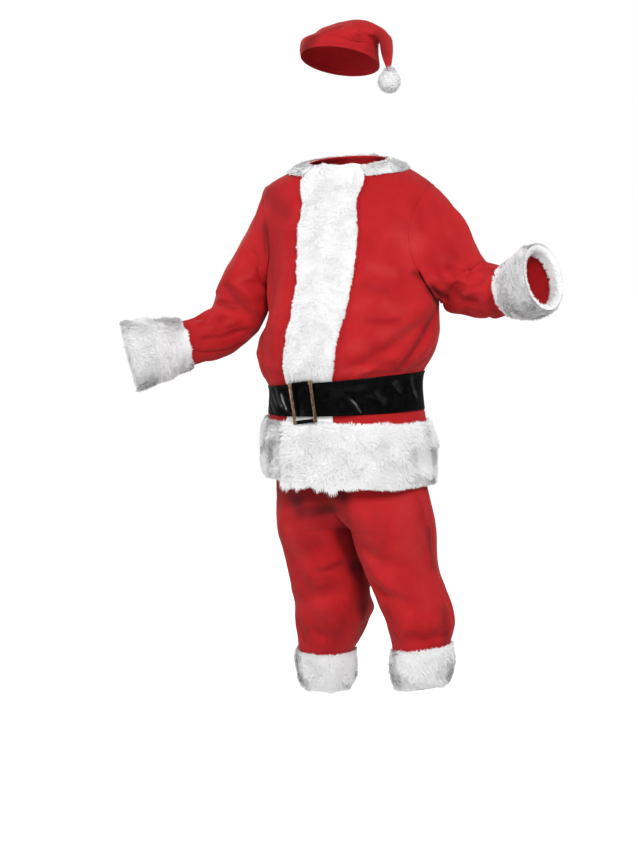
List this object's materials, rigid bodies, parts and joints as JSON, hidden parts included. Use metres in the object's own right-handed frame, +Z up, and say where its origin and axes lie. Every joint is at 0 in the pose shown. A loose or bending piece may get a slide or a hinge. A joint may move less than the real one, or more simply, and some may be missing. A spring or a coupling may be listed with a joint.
{
  "type": "santa suit",
  "caption": "Red velour santa suit in the shape it has when worn: jacket, trousers and folded hat with white plush bands and pompom, and a black belt with a metal frame buckle.",
  "frame": {"origin": "centre of the neck opening, where the wearer's neck and shoulders hold the suit", "axes": "+Z up, -Y to the front, +X to the wearer's left"},
  "size_m": [1.0326, 0.3983, 1.5759],
  "materials": {
    "red velour": "soft pile",
    "white plush": "long pile",
    "black vinyl": "gloss",
    "bronze metal": "satin"
  },
  "bodies": {
    "root": {"jacket_back": "red velour", "jacket_front_left": "red velour", "jacket_front_right": "red velour", "sleeve_left": "red velour", "sleeve_right": "red velour", "trouser_front_left": "red velour", "trouser_front_right": "red velour", "trouser_back_left": "red velour", "trouser_back_right": "red velour", "trouser_waistband": "red velour", "hat_crown": "red velour", "front_trim": "white plush", "neck_trim": "white plush", "hem_trim": "white plush", "cuff_trim_left": "white plush", "cuff_trim_right": "white plush", "trouser_cuff_left": "white plush", "trouser_cuff_right": "white plush", "hat_pompom": "white plush", "belt_strap": "black vinyl", "belt_buckle": "bronze metal"}
  },
  "joints": []
}
